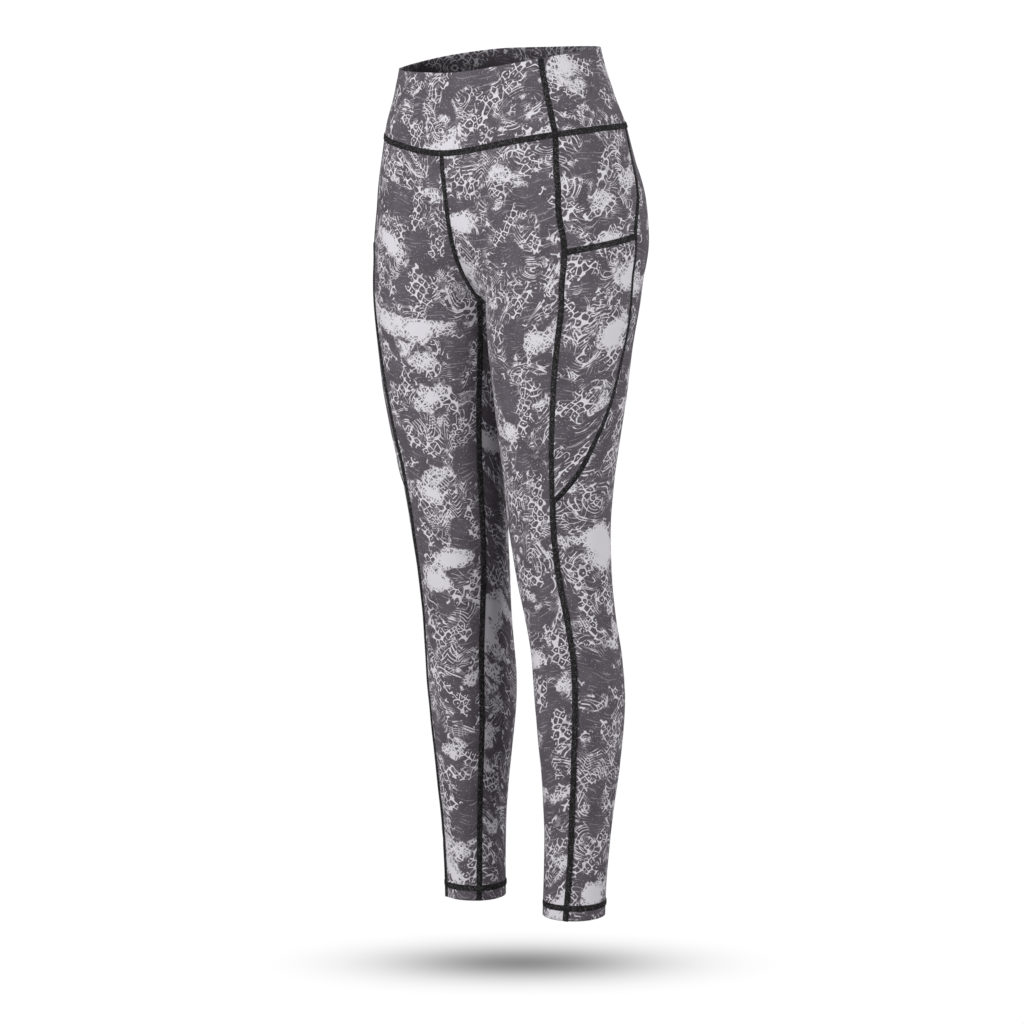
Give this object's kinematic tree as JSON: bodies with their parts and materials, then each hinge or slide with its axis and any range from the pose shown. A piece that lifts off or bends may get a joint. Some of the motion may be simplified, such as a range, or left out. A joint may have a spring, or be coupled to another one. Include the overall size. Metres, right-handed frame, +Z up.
{
  "type": "leggings",
  "caption": "High-waist seven-eighths leggings with side pockets and an all-over print, hollow as when filled out.",
  "frame": {"origin": "inside the waist opening, on the plane between left and right, level with the opening's sides and straight above the crotch", "axes": "+Z up, -Y towards the garment's front, +X towards the wearer's left side"},
  "size_m": [0.331, 0.2032, 0.9303],
  "materials": {
    "panel_jersey": "matte",
    "waistband_jersey": "matte"
  },
  "bodies": {
    "root": {"waistband_front": "waistband_jersey", "waistband_back": "waistband_jersey", "front_left": "panel_jersey", "front_right": "panel_jersey", "back_left": "panel_jersey", "back_right": "panel_jersey", "side_left": "panel_jersey", "side_right": "panel_jersey", "pocket_left": "panel_jersey", "pocket_right": "panel_jersey"}
  },
  "joints": []
}
